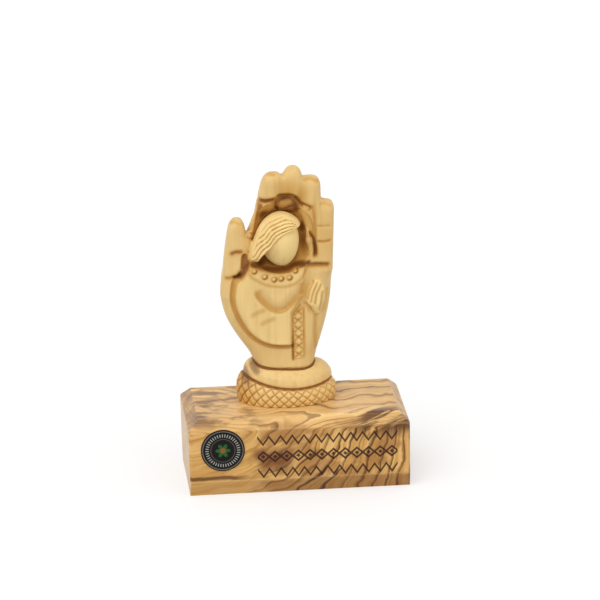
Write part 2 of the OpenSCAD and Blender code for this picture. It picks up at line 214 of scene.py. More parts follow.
class Clay:
    """A grid of distances that forms are added to and cut from."""

    def __init__(self, low, high, step):
        self.step = step
        self.low = np.array(low)
        self.axes = [np.arange(a, b, step, dtype=np.float32) for a, b in zip(low, high)]
        self.field = np.full([len(a) for a in self.axes], FAR, np.float32)

    def part(self, low, high):
        """The slices and the open axes of the grid between two corners."""
        spans = tuple(slice(*np.searchsorted(axis, ends)) for axis, *ends in zip(self.axes, low, high))
        return spans, np.ix_(*(axis[span] for axis, span in zip(self.axes, spans)))

    def add(self, form, low, high, blend=0.0):
        """Adds a form within the box between two corners."""
        spans, places = self.part(low, high)
        self.field[spans] = smooth_min(self.field[spans], form(*places), blend)

    def cut(self, form, low, high, blend=0.0):
        spans, places = self.part(low, high)
        self.field[spans] = smooth_max(self.field[spans], -form(*places), blend)

    def cells(self, points):
        """Places of points, counted in cells."""
        return (points - self.low) / self.step

    def crowding(self, reach):
        """How much of the room round each place is wood, from 0 to 1."""
        wood = np.clip(0.5 - self.field / self.step, 0.0, 1.0)
        cells = max(1, int(round(reach / self.step)))
        for axis in range(3):
            for _ in range(2):
                wood = box_blur(wood, cells, axis)
        return wood

    def skin(self):
        """Corners and four-sided faces of the surface where the field is zero."""
        shape = np.array(self.field.shape) - 1
        cells, points, quads = [], [], []
        for axis in range(3):
            a, b = self.field[along(axis, None, -1)], self.field[along(axis, 1, None)]
            at = np.argwhere((a < 0) != (b < 0))
            others = [k for k in range(3) if k != axis]
            at = at[np.all((at[:, others] > 0) & (at[:, others] < shape[others]), axis=1)]
            fa, fb = a[tuple(at.T)], b[tuple(at.T)]
            crossing = at.astype(float)
            crossing[:, axis] += fa / (fa - fb)
            ring = []
            for side in ((-1, -1), (0, -1), (0, 0), (-1, 0)):
                cell = at.copy()
                cell[:, others] += side
                ring.append(np.ravel_multi_index(cell.T, shape))
            cells += ring
            points += [crossing] * len(ring)
            ring = np.stack(ring, axis=1)
            flip = (fa < 0) == (axis == 1)
            ring[flip] = ring[flip][:, ::-1]
            quads.append(ring)
        used, slot = np.unique(np.concatenate(cells), return_inverse=True)
        corners = means(slot, np.concatenate(points), len(used))
        faces = np.searchsorted(used, np.concatenate(quads))
        return relaxed(corners, faces) * self.step + self.low, faces


def relaxed(corners, faces):
    """Corners moved halfway to the mean of their neighbours, which takes the steps out of slanted edges."""
    next_round = np.roll(faces, 1, axis=1)
    ends, others = np.hstack([faces, next_round]).ravel(), np.hstack([next_round, faces]).ravel()
    return (corners + means(ends, corners[others], len(corners))) / 2


class Relief:
    """Height above the wood, painted shade and paler places, laid out across and up on one side of the hand.

    The side is -1 for the front and 1 for the back. How much of the relief is carved and painted rises over
    two spans of depth towards that side.
    """

    def __init__(self, clay, side, carved, painted_span):
        self.side, self.carved, self.painted_span = side, carved, painted_span
        self.x = clay.axes[0][:, None].astype(float)
        self.z = clay.axes[2][None, :].astype(float)
        self.height, self.painted_shade_and_tone, self.pale = np.zeros((3, self.x.size, self.z.size))

    def carve(self, clay):
        y = clay.axes[1][None, :, None]
        clay.field -= (self.height[:, None, :] * ease(self.side * y, *self.carved)).astype(np.float32)

    def paint(self, amount):
        self.painted_shade_and_tone = np.maximum(self.painted_shade_and_tone, amount)

    def area(self, outline):
        return area_distance(self.x, self.z, np.asarray(outline, float))

    def path(self, points):
        return path_distance(self.x, self.z, points)

    def at(self, grid, clay, points):
        """Values of the painted shade or the pale map at points."""
        return sampled(grid, clay.cells(points)[:, [0, 2]]) * ease(self.side * points[:, 1], *self.painted_span)

    def groove(self, points, depth, width, painted_shade_and_tone=0.0, low_fade=0.0, top_fade=0.0):
        """A round groove, from its low end up, that deepens over the fades at its two ends, with painted
        shade in it.
        """
        d = self.path(points)
        amount = 1.0
        if low_fade:
            amount = ease(self.z, points[0][1] - 1.0, points[0][1] + low_fade)
        if top_fade:
            amount = amount * fade(self.z, points[-1][1] - top_fade, points[-1][1] + 1.0)
        self.height -= depth * bell(d, width) * amount
        self.paint(painted_shade_and_tone * bell(d, 1.4 * width) * amount)


# The hand

WRIST_Z, PALM_Z, PALM_END_Z = 18.0, 56.0, 74.0
WRIST_HALF, PALM_HALF = 13.4, 24.25
WRIST_DEEP, PALM_DEEP = 9.6, 10.3
WRIST_MIDDLE, PALM_LEAN, PALM_MIDDLE_Y = -0.3, -2.55, -0.2
HEEL_SWELL, HEEL_LOW_Z, HEEL_END_Z = 0.95, 24.0, 56.0
# The power of the hand's squared ovals
SQUARE = 3.0

# Index, middle, ring and little finger, then the thumb: root, tip, half width at root and tip,
# the length and the power of the tip's rounding, the power of the taper, and the bow to one side
FINGERS = (
    ((-8.6, -2.2, 66), (-3.3, -4.2, 106.2), 6.3, 4.3, 6, 2.5, 1, -1),
    ((3.6, -2.2, 66), (5.3, -3.6, 108.5), 5.4, 4.6, 8.5, 2.3, 1, 0),
    ((12.6, -2.4, 62), (12.8, -3, 103.6), 5, 4.6, 5.6, 2.7, 1, 0),
    ((17.4, -2.6, 54), (20, -2.4, 92.3), 4.4, 3.4, 5.4, 2.6, 1, 0),
    ((-21, -1.6, 42), (-20, -4.4, 86.1), 6.8, 3, 5.6, 2.6, 2.2, 0),
)
FINGER_DEEP, FINGER_TIP_DEEP = 6.4, 4.8
TIP_SIZE = 0.15
ROOT_SHARE, ROOT_SIZE = 0.18, 0.5
BEND_POWER = 1.4

# Height, middle across and in depth, half width and half depth of the wood at the fingers' roots
FINGER_BASE = np.array((
    (46, 1.0, 0, 16.0, 8.6),
    (60, 2.4, 0.3, 19.1, 9.9),
    (70, 2.7, 0.7, 19.3, 9.2),
    (78, 3.4, 0.4, 18.9, 7.4),
    (85, 4.4, -0.4, 17, 5.2),
    (93, 5.2, -1.6, 12, 1.2),
))


def palm(x, y, z):
    opening = np.power(np.sin(np.pi / 2 * share(z, WRIST_Z, PALM_Z)), 1.2)
    closing = np.sqrt(1.0 - np.square(share(z, PALM_Z, PALM_END_Z)) + 1e-4)
    heel = HEEL_SWELL * np.sin(np.pi * share(z, HEEL_LOW_Z, HEEL_END_Z))
    half_x = (WRIST_HALF + (PALM_HALF - WRIST_HALF) * opening) * closing + heel
    half_y = (WRIST_DEEP + (PALM_DEEP - WRIST_DEEP) * opening) * np.sqrt(closing)
    inside = oval(x, y, WRIST_MIDDLE + PALM_LEAN * opening - heel, PALM_MIDDLE_Y, half_x, half_y, SQUARE)
    return np.maximum(inside, z - PALM_END_Z)


def finger_base(x, y, z):
    ends = np.maximum(FINGER_BASE[0, 0] - z, z - FINGER_BASE[-1, 0])
    return np.maximum(oval(x, y, *rows_at(FINGER_BASE, z), SQUARE), ends)


def finger(root, tip, root_half, tip_half, tip_round, tip_power, taper, bow):
    length = tip[2] - root[2]

    def form(x, y, z):
        t = share(z, root[2], tip[2])
        tip_share = np.maximum(0.0, 1.0 - (1.0 - t) * length / tip_round)
        blunt = np.power(1.0 - np.power(tip_share, tip_power) + 1e-6, 1.0 / tip_power)
        size = np.maximum(TIP_SIZE, blunt) * (ROOT_SIZE + (1.0 - ROOT_SIZE) * share(t, 0.0, ROOT_SHARE))
        middle_x = root[0] + (tip[0] - root[0]) * t + bow * np.sin(np.pi * t)
        middle_y = root[1] + (tip[1] - root[1]) * np.power(t, BEND_POWER)
        half_x = (root_half + (tip_half - root_half) * np.power(t, taper)) * size
        half_y = (FINGER_DEEP + (FINGER_TIP_DEEP - FINGER_DEEP) * t) * size
        inside = oval(x, y, middle_x, middle_y, half_x, half_y, SQUARE)
        return np.maximum(inside, np.maximum(root[2] - z, z - tip[2]))

    return form


# Wood that joins neighbouring fingers: middle across and in depth, half width and depth, low and top,
# and the thumb's: two ends and their radii
WEBS = (
    (-0.2, -3.7, 3.2, 4, 78, 104),
    (8.7, -3.2, 3.2, 4, 78, 102.6),
    (16.7, -2.6, 2.8, 4.2, 58, 92.2),
)
THUMB_WEB = ((-17.8, -3.4, 60), (-16.6, -4, 74.6), 5.2, 4)


def finger_web(x0, y0, half_x, half_y, low, top):
    def form(x, y, z):
        wall = oval(x, y, x0, y0, half_x, half_y, 4.0)
        return smooth_max(wall, np.maximum(low - z, z - top), 2.0)

    return form


def build_hand(clay):
    clay.add(palm, (-29, -13, 6), (24, 13, PALM_END_Z + 1))
    clay.add(finger_base, (-21, -13, 45), (25, 13, 94), 2.0)
    clay.add(rod(*THUMB_WEB), (-26, -12, 52), (-9, 6, 82), 2.0)
    for root, tip, *sizes in FINGERS:
        low = (min(root[0], tip[0]) - 9, -13, root[2] - 1)
        high = (max(root[0], tip[0]) + 9, 9, tip[2] + 1)
        clay.add(finger(root, tip, *sizes), low, high, 1.6)
    for web in WEBS:
        clay.add(finger_web(*web), (web[0] - 6, -12, web[4] - 2), (web[0] + 6, 6, web[5] + 2), 1.6)


# The figure's robe and hands, as places on the palm, across and up

ROBE_EDGE = (
    (-20.2, 59.6), (-21.8, 57.2), (-22.5, 53.3), (-22.7, 49.8), (-22, 45.4), (-20, 40.3),
    (-17.2, 35.2), (-13.2, 31), (-8.2, 28.4), (-3, 27.4), (3.2, 27.2),
)
ROBE_REST = ((3.4, 27.2), (3.4, 43), (6, 47), (8.2, 50.5), (9.2, 57), (10.4, 66), (-17, 67))
LAPEL = (
    (-13.6, 52.8), (-12, 50), (-9.4, 47.2), (-6.6, 44.8), (-3.1, 43.6), (0, 44.2), (2.4, 45.8),
    (4.6, 47.8), (5.8, 49.2),
)
COLLAR_EDGE = (
    (-17, 65.2), (-14.5, 61.7), (-12.2, 59.9), (-8, 57.6), (-2.2, 56.4), (2, 56.7), (5.8, 58.4),
    (8.4, 61.6), (9.8, 65.6),
)
STUDS = ((-13.2, 63.6), (-8.7, 60.9), (-4.6, 59.5), (-1.5, 59.8), (2.2, 60.1), (4.8, 63.2))
FOLDS = (((-14.2, 43.3), (-11.8, 44.6), (-9.4, 45.4)), ((-10.2, 39.2), (-8, 40.3), (-5.2, 41.2)))
HEM = ((3.4, 21), (8.2, 21.4), (8.2, 46.2), (7, 46.8), (3.4, 42.2))
HEM_CELLS = 6
FALL = ((8.2, 21.4), (12.8, 22.5), (12.9, 32), (13.2, 41.5), (10.4, 45.8), (8.2, 46.6))
HANDS = (
    (9.2, 48.3), (9.6, 51.3), (10.6, 55.1), (12.6, 57.7), (14.2, 58.3), (16, 57.7), (17.4, 55.9),
    (18.4, 52.5), (18.3, 49.3), (17.3, 45.9), (16.1, 42.5), (14.4, 40.1), (13.2, 40.7), (12.6, 42.9),
    (11.6, 45.1), (10.2, 46.5), (9.2, 48.3),
)
HAND_LINES = (
    ((10.1, 49.3), (11.1, 53.5), (12.9, 57.3)),
    ((11.5, 47.9), (12.6, 52.3), (14.7, 56.7)),
    ((13.3, 47.1), (14.2, 51.3), (16.2, 55.5)),
    ((15.2, 43.7), (16.2, 47.7), (16.9, 52.1)),
)
# How much paler than bare wood the robe, the studs on its collar (a painted highlight) and the hands are
ROBE_PALER, STUD_HIGHLIGHT, HANDS_PALER = 0.08, 0.12, 0.2


def robe_relief(relief):
    robe = relief.area(np.vstack([smooth_path(ROBE_EDGE), ROBE_REST]))
    relief.height += 2.0 * ease(robe, -0.2, 2.0) + 1.1 * dome(robe, 11.0)
    relief.pale += ROBE_PALER * ease(robe, 0.5, 3.0)
    edge = relief.path(ROBE_EDGE)
    # A channel along the robe's edge, with painted shade in it
    channel = fade(edge, 0.5, 1.6)
    relief.height -= 1.2 * channel
    relief.paint(0.28 * channel)

    collar_edge = smooth_path(COLLAR_EDGE)
    chest = np.vstack([smooth_path(LAPEL), ((8.6, 52), (9.2, 57)), collar_edge[::-1][12:-9]])
    sunk = relief.area(chest)
    lapel = relief.path(LAPEL)
    from_left = ease(relief.x - 1.2 * (relief.z - 50.0), -22.0, -14.0)
    # The chest sinks below the lapel, with painted shade darkest along the lapel and less of the robe's
    # paleness there
    relief.height -= ease(sunk, -0.4, 1.4) * (0.8 + 0.9 * bell(lapel, 4.0)) * from_left
    relief.paint(ease(sunk, -0.3, 0.4) * 0.38 * bell(lapel, 2.8) * from_left)
    relief.pale -= ROBE_PALER * ease(sunk, -0.3, 1.0) * bell(lapel, 6.0) * from_left
    # A line of painted shade by the chest's right edge
    relief.paint(0.2 * bell(relief.path(((5.6, 49.6), (6.8, 52.6), (7.6, 56))), 2.0))

    collar = relief.area(collar_edge)
    relief.height += 1.25 * ease(collar, -0.1, 0.9)
    # Painted shade just outside the collar's edge
    relief.paint(0.3 * bell(collar + 0.5, 0.7) * ease(relief.z, 54, 56))
    for x, z in STUDS:
        # Each stud has a painted shade ring round it, darker to the lower right, and a painted highlight on
        # it
        d = np.hypot(relief.x - x, relief.z - z)
        relief.height += 0.45 * bell(d, 0.7) - 0.5 * bell(d - 1.1, 0.35)
        relief.paint(0.95 * bell(d - 1.1, 0.42) * (0.4 + 0.6 * share(relief.x - x - relief.z + z, -1, 1)))
        relief.pale += STUD_HIGHLIGHT * bell(d, 0.6)

    # Folds, with painted shade in them
    for fold in FOLDS:
        relief.groove(fold, 0.7, 0.8, 0.24)


def sleeve_relief(relief):
    hem = relief.area(HEM)
    relief.height += 0.6 * ease(hem, -0.2, 0.6)
    left, right, low, high = 3.4, 8.2, 21.2, 45.2
    cell = (high - low) / HEM_CELLS
    band = ease(hem, 0.3, 0.8)
    across = (relief.x - left) / (right - left)
    up = (relief.z - low) / cell
    for slope in (1.0, -1.0):
        off = np.abs((slope * across + up + 0.5) % 1.0 - 0.5) * min(cell, right - left) * 0.7
        # Crossed cuts over the hem, with painted shade in them
        relief.height -= 0.6 * bell(off, 0.42) * band
        relief.paint(0.4 * bell(off, 0.42) * band)
    # A groove down the hem's left edge, with painted shade in it, deeper and darker low down
    edge = bell(relief.path(((3.3, 20.8), (3.2, 31), (3.3, 41))), 0.55)
    low_end = fade(relief.z, 27.0, 36.0)
    relief.height -= edge * (0.5 + 0.4 * low_end)
    relief.paint(edge * (0.16 + 0.5 * low_end))
    # Grooves at the hem's top and right edge, with painted shade in them
    relief.groove(((3.6, 42), (6.8, 46.4)), 0.5, 0.5, 0.34)
    relief.groove(((8.3, 22), (8.3, 45)), 0.4, 0.45, 0.26)

    fall = relief.area(FALL)
    relief.height += 0.8 * dome(fall, 2.4) * ease(relief.z, 22.0, 29.0)
    # Grooves beside the fall and below the hands, with painted shade in them
    relief.groove(((13.2, 24), (13.3, 32), (13.8, 41)), 0.7, 0.9, 0.2)
    relief.groove(((8.8, 46.8), (11.4, 43), (14, 40.7)), 0.4, 0.9, 0.14)

    hands = relief.area(smooth_path(HANDS))
    rise = ease(relief.z, 39.5, 47.0) * (hands > 0)
    relief.height += (2.6 * dome(hands, 2.6) - 0.7 * relief.height * ease(hands, 0, 1)) * rise
    relief.pale += HANDS_PALER * ease(hands, 0.0, 1.2)
    # Lines between the little hands' fingers and along their right side, with painted shade in them
    for line in HAND_LINES:
        relief.groove(line, 0.7, 0.4, 0.4)
    relief.groove(((19, 52.3), (18.8, 47.3), (17.4, 42.3)), 0.4, 0.7, 0.16)


# Creases of the hand, from the low end up, with their depth, width, painted shade and the fades at their ends
CREASES = (
    (((15.6, 81.4), (18, 81.2), (20.6, 81.3)), 0.4, 0.5, 0.22),
    (((15.4, 74.5), (18, 74.3), (20.6, 74.7)), 0.6, 0.55, 0.42),
    (((10.8, 64.4), (15, 64.2), (19.4, 63.9)), 1.2, 0.85, 0.6),
    (((-9.6, 94.2), (-7, 94), (-3.8, 94.4)), 1.4, 0.8, 0.8),
    (((-1.2, 96), (1.4, 96), (4.2, 95.8)), 1.0, 0.8, 0.75),
    (((6, 94.6), (8.6, 91.8), (12, 90)), 1.2, 0.9, 0.8),
    (((-22.4, 70.6), (-20.8, 71.2), (-18.6, 71.2)), 0.8, 0.8, 0.6),
    (((-15.8, 66.4), (-17.6, 62.9), (-19.4, 60.8)), 1.5, 1.0, 0.85),
    (((-19, 61), (-20.2, 60.2), (-21.6, 59.8)), 0.8, 0.8, 0.95),
    (((-21.6, 59.8), (-23, 59.4), (-25, 59)), 0.8, 0.8, 0.4),
    (((-9.4, 104.9), (-6.6, 105.7), (-2.8, 105.4)), 0.35, 0.5, 0.26),
    (((10, 102.4), (13, 102.8), (16, 101.4)), 0.35, 0.5, 0.24),
    (((17.2, 91.2), (19.4, 91.2), (21.4, 90.2)), 0.35, 0.5, 0.2),
    (((-22.6, 84.4), (-21, 85), (-18.8, 83.8)), 0.3, 0.5, 0.22),
    (((-10, 93), (-10.9, 87), (-11.9, 80.8)), 0.0, 0.5, 0.6),
    (((14.2, 73), (14.4, 77), (14.4, 81), (14, 86), (13.3, 90.4)), 0.5, 0.6, 0.4),
    (((13.9, 66.8), (14.2, 70), (13.9, 73.6), (13.1, 76.8), (11.8, 79.6)), 1.6, 0.8, 0.9, 3.0, 4.0),
)
# Soft painted shade: its middle, its reach across and up, and its darkness
SHADES = (
    ((2.6, 97.6), (5.4, 5.6), 0.26),
    ((8.2, 95.6), (2.6, 5), 0.32),
    ((-1, 98), (1.6, 6), 0.18),
    ((-5.6, 99), (3.6, 5), 0.05),
    ((12.6, 86), (2.4, 5), 0.14),
    ((14.2, 84), (1, 8), 0.36),
    ((18.8, 77), (3.4, 9), 0.12),
)
# Cuts between the fingers on the back of the hand, and their depth, width, painted shade and fade
BACK_CUTS = (
    ((-2.2, 66), (-1.6, 78), (-0.8, 90), (-0.2, 103)),
    ((8.4, 64), (8.5, 78), (8.8, 90), (9, 101)),
    ((16, 62), (16.3, 74), (16.6, 85), (17, 92)),
)
BACK_CUT = (1.4, 0.8, 0.22, 12.0)
# Creases over the joints, as shares of a finger's length and width, with their depth, width and painted shade
JOINTS, JOINT_REACH = (0.4, 0.72), 0.5
JOINT_CREASE = (0.5, 0.55, 0.2)


def front_relief(clay):
    relief = Relief(clay, -1, (-1.0, 4.0), (1.0, 6.0))
    robe_relief(relief)
    sleeve_relief(relief)
    for crease in CREASES:
        relief.groove(*crease)
    # Soft painted shade
    for middle, reach, painted_shade_and_tone in SHADES:
        relief.paint(painted_shade_and_tone * spot(relief.x, relief.z, middle, reach))
    return relief


def back_relief(clay):
    relief = Relief(clay, 1, (-3.0, 1.5), (-3.0, 0.0))
    for path in BACK_CUTS:
        relief.groove(path, *BACK_CUT)
    for root, tip, root_half, tip_half, *_ in FINGERS:
        for t in JOINTS:
            x, _, z = np.array(root) + (np.array(tip) - np.array(root)) * t
            half = (root_half + (tip_half - root_half) * t) * JOINT_REACH
            relief.groove(((x - half, z - 0.3), (x, z + 0.3), (x + half, z - 0.3)), *JOINT_CREASE)
    return relief


# The hollow and the head in it

# Middle, half sizes and the painted shade on their walls
HOLLOWS = (
    ((-0.8, -12.5, 78.2), (16.2, 12.3, 16.2), 0.5),
    ((7.5, -12.3, 74.2), (6.8, 8.6, 7.2), 0.56),
    ((2, -10, 92.4), (7, 7.2, 4.8), 0.72),
)
# Painted shade in the hollow: its middle and its reach across and up, and its darkness
HOLLOW_SHADES = (
    ((-10.6, 66), (4, 2.2), 0.85),
    ((9.4, 74), (2.4, 7), 0.6),
    ((2.6, 91.2), (6.4, 3.2), 0.75),
    ((-2, 90.2), (1.8, 4.2), 0.9),
    ((6.1, 89.8), (2, 3.2), 0.9),
    ((2.4, 87.6), (5.4, 1.6), 0.85),
    ((-8, 86.8), (3, 3.2), 0.75),
    ((9, 80.4), (1.8, 3.6), 0.85),
)
# The hollow's lower rim, with the painted shade along it and how far that reaches
RIM = ((-14, 66), (-9.2, 64.2), (-4, 62.9), (1.5, 63), (4.9, 64.4), (8.6, 65.4), (11, 65.6))
RIM_SHADE, RIM_REACH = 0.85, 1.2
# Painted shade on the hollow's walls close to the head, and how far it reaches
HEAD_SHADE, HEAD_SHADE_REACH = 0.7, 3.4
FACE_MIDDLE, FACE_RADII, FACE_TILT, JAW_TAPER = (-1.6, -7.6, 76.0), (8.8, 9.2, 11.7), -8.0, 0.12

# The hair's outer edge from the brow over the crown to its tail, and its edge over the face
HAIR_CROWN = (
    (8, 83.2), (6.6, 85.6), (4, 87.6), (0.5, 88.9), (-3, 88.7), (-6.2, 87.2), (-8.8, 84.8), (-10.8, 81.8),
    (-12.4, 78.2), (-13.8, 74.6), (-14.8, 71), (-14.8, 68.4), (-13.2, 67.4),
)
HAIRLINE = (
    (-13.2, 67.4), (-11.4, 68.4), (-10.2, 70.6), (-8, 73), (-5.4, 75.8), (-2.6, 78.8), (0.6, 81.2),
    (4.4, 82.4), (8, 83.2),
)
HAIR_MIDDLE_Y, HAIR_FRONT, HAIR_REAR, HAIR_REACH = -8.6, 8.7, 9.0, 8.0

# The locks fan out from the brow between these two lines
FAN_TOP = ((8, 83.2), (5.4, 87), (1, 89), (-3.4, 88.6), (-7.6, 86), (-11.6, 82), (-18.4, 74))
FAN_LOW = ((8, 83.2), (4.4, 82.2), (0.6, 81), (-2.6, 78.6), (-5.4, 75.6), (-8, 72.8), (-13, 66))
LOCKS = 6


def hollow(middle, radii):
    return lambda x, y, z: ellipsoid(x - middle[0], y - middle[1], z - middle[2], radii)


def face(x, y, z):
    """A plain egg, tilted to one side and narrower below."""
    c, s = math.cos(math.radians(FACE_TILT)), math.sin(math.radians(FACE_TILT))
    u, v, w = x - FACE_MIDDLE[0], y - FACE_MIDDLE[1], z - FACE_MIDDLE[2]
    u, w = c * u - s * w, s * u + c * w
    jaw = 1.0 + JAW_TAPER * np.clip(w / FACE_RADII[2], -1, 1)
    return ellipsoid(u / jaw, v / jaw, w, FACE_RADII)


def hair_strand(x, z):
    """0 on the back of a lock, 1 in the cut between two."""
    top, low = path_distance(x, z, FAN_TOP), path_distance(x, z, FAN_LOW)
    sway = 0.16 * np.sin(0.6 * x + 0.4 * z)
    lock = (low / (low + top + 1e-6) * LOCKS + sway) % 1.0
    depth = 1.0 - np.sqrt(1.0 - 0.96 * np.square(2.0 * lock - 1.0))
    off_crown = ease(path_distance(x, z, HAIR_CROWN), 0.4, 1.8)
    off_brow = ease(np.hypot(x - FAN_TOP[0][0], z - FAN_TOP[0][1]), 0.8, 3.0)
    return depth * off_crown * off_brow


def hair(x, y, z):
    crown = path_distance(x, z, HAIR_CROWN)
    brow = path_distance(x, z, HAIRLINE)
    inside = area_distance(x, z, np.vstack([smooth_path(HAIR_CROWN), smooth_path(HAIRLINE)]))
    strand = hair_strand(x, z)
    swell = dome(crown, HAIR_REACH)
    steep = (1.0 - share(crown, 0.0, HAIR_REACH)) / (HAIR_REACH * swell + 0.05)
    front = HAIR_MIDDLE_Y - HAIR_FRONT * swell + 1.8 * strand * ease(np.minimum(crown, brow), 0.0, 1.0)
    rear = HAIR_MIDDLE_Y + HAIR_REAR * swell
    before = (front - y) / np.sqrt(1.0 + np.square(HAIR_FRONT * steep))
    behind = (y - rear) / np.sqrt(1.0 + np.square(HAIR_REAR * steep))
    return smooth_max(np.maximum(-inside, behind), before, 0.4)


# Ridges inside the hollow and a knob at its edge: two ends, their radii and the share of the painted shade
# they keep
HOLLOW_RIDGES = (
    ((10.4, -4.8, 89), (12, -4.8, 80.4), 2.6, 1.7, 0.3),
    ((10.9, -6, 80.2), (11.4, -6.4, 75), 0.5, 1.2, 0.35),
    ((11.4, -6.4, 75), (12, -7, 69.6), 1.2, 0.5, 0.35),
    ((-8, -4.4, 91.4), (-5.4, -3.6, 89.8), 2.2, 1.8, 0.7),
    ((0.2, -4.4, 91.6), (3.4, -4.4, 92.4), 2.1, 1.8, 0.6),
    ((-14.8, -4, 78.2), (-14.6, -7.4, 78.4), 1.4, 1.3, 0.4),
    ((-15.2, -6.2, 76), (-13.6, -6.8, 72.8), 1.6, 1.8, 0.3),
)
# The gap beside the thumb: two ends and their radii
THUMB_GAP = ((-17, -8.8, 69.2), (-17.4, -9.8, 64), 1.2, 1.5)
# Cuts between the fingers beside the hollow: two ends, their radii and the painted shade in them
HOLLOW_CUTS = (
    ((11.2, -7.6, 80.6), (12.2, -7.8, 77.6), 0.5, 0.7, 0.85),
    ((-9.6, -8.6, 92.4), (-10.4, -8, 85.6), 0.8, 1, 0.6),
)


def build_head(clay):
    for middle, radii, _ in HOLLOWS:
        reach = np.array(radii) + 2
        clay.cut(hollow(middle, radii), np.array(middle) - reach, np.array(middle) + reach, 0.7)
    for rods, work, blend in ((HOLLOW_CUTS, clay.cut, 0.5), (HOLLOW_RIDGES, clay.add, 0.6)):
        for a, b, radius_a, radius_b, _ in rods:
            work(rod(a, b, radius_a, radius_b), np.minimum(a, b) - 5, np.maximum(a, b) + 5, blend)
    clay.add(face, (-12, -19, 60), (10, 4, 92), 0.3)
    clay.add(hair, (-17, -19, 64), (10, 4, 91), 0.2)
    clay.cut(rod(*THUMB_GAP), (-22, -14, 58), (-13, -4, 75), 0.6)


# The cuff

LATTICE_H, LATTICE_RISE, ROLL_RISE = 8.0, 3.2, 2.2
CUFF_TILT, CUFF_LIFT = -0.085, 0.3
LATTICE_ROWS = np.array(((0, 22, 15.2), (0.35, 22.7, 15.9), (0.7, 22.3, 15.5), (1, 20.2, 13.7)))
ROLL_ROWS = np.array((
    (6.4, 18.5, 12.8), (7.8, 19.7, 13.9), (9.8, 20, 14.2), (12, 19.5, 13.8),
    (14, 18.1, 12.7), (15.4, 16.2, 11.2), (16, 14.2, 9.8), (16.6, 11.8, 8.0),
))
LATTICE_SHIFT, ROLL_SHIFT = 0.5, 1.2
DIAMONDS, DIAMOND_ROWS, SPACING_SHIFT, CUT_DEPTH = 28, 2.2, 5.3, 0.7
PILOT_RADIUS, PILOT_TOP = 2.1, 16.2


def side_share(x, y):
    """How far round towards the cuff's sides a place is: 0 in front and behind, 1 at the sides."""
    across, deep = np.square((x - LATTICE_SHIFT) / 20.0), np.square(y / 14.0)
    return across / (across + deep + 1e-6)


def cuff_rise(x):
    """The cuff leans: it stands higher at the thumb's side."""
    return CUFF_TILT * x + CUFF_LIFT


def lattice_height(x, y):
    return LATTICE_H + LATTICE_RISE * side_share(x, y) + cuff_rise(x)


def lattice_cut(x, y, z):
    """Depth of the crossed cuts, from 0 to 1."""
    t = np.degrees(np.arctan2(y / 15.5, (x - LATTICE_SHIFT) / 22.3))
    round_share = (t - SPACING_SHIFT * np.sin(np.radians(2 * t))) / 360.0 * DIAMONDS
    up = z / lattice_height(x, y) * DIAMOND_ROWS
    cuts = [np.abs((round_share + s * up + 0.5) % 1.0 - 0.5) for s in (1.0, -1.0)]
    return bell(np.minimum(*cuts), 0.1)


def lattice_ring(x, y, z):
    height = lattice_height(x, y)
    ring = oval(x, y, LATTICE_SHIFT, 0.0, *rows_at(LATTICE_ROWS, z / height), 2.0)
    ring = ring + CUT_DEPTH * lattice_cut(x, y, z)
    return smooth_max(ring, np.maximum(-z, z - height), 0.5)


def roll_ring(x, y, z):
    lifted = z - ROLL_RISE * side_share(x, y) - cuff_rise(x)
    slope = np.interp(lifted, ROLL_ROWS[:, 0], np.gradient(ROLL_ROWS[:, 1], ROLL_ROWS[:, 0]))
    ring = oval(x, y, ROLL_SHIFT, 0.0, *rows_at(ROLL_ROWS, lifted), 2.0) / np.sqrt(1.0 + np.square(slope))
    return np.maximum(ring, np.maximum(ROLL_ROWS[0, 0] - lifted, lifted - ROLL_ROWS[-1, 0]))


def pilot_hole(x, y, z):
    return np.maximum(np.hypot(x, y) - PILOT_RADIUS, z - PILOT_TOP)


def cuff_groove(x, y, z):
    """Distance from the line between the roll and the lattice."""
    return np.hypot(z - lattice_height(x, y), oval(x, y, ROLL_SHIFT, 0.0, 20.0, 14.1, 2.0))


def wrist_line(x, y, z):
    """Distance from the line between the wrist and the roll."""
    return np.hypot(palm(x, y, z), roll_ring(x, y, z))


def build_cuff(clay):
    clay.add(roll_ring, (-25, -18, 2), (25, 18, 22), 0.15)
    clay.add(lattice_ring, (-26, -18, -1), (26, 18, 15), 0.15)
    clay.cut(lambda x, y, z: cuff_groove(x, y, z) - 0.6, (-25, -18, 3), (25, 18, 16), 0.3)
    clay.cut(lambda x, y, z: wrist_line(x, y, z) - 0.32, (-20, -16, 10), (22, 16, 24), 0.3)
    clay.cut(pilot_hole, (-4, -4, -1), (4, 4, 18))


# The carving

# How much paler than bare wood the face and the hair are, and the painted shade in small places
FACE_PALER, HAIR_PALER = 0.15, 0.11
THUMB_GAP_SHADE, LOCK_SHADE, GROOVE_SHADE, WRIST_SHADE = 0.6, 0.44, 0.75, 0.8
# Painted shade in recesses: how far round them wood is looked for, its full share, its darkness and its part
# on the head
RECESSES, RECESS_START = ((0.8, 0.8, 0.65, 0.35), (2.4, 0.78, 0.5, 0.1)), 0.57


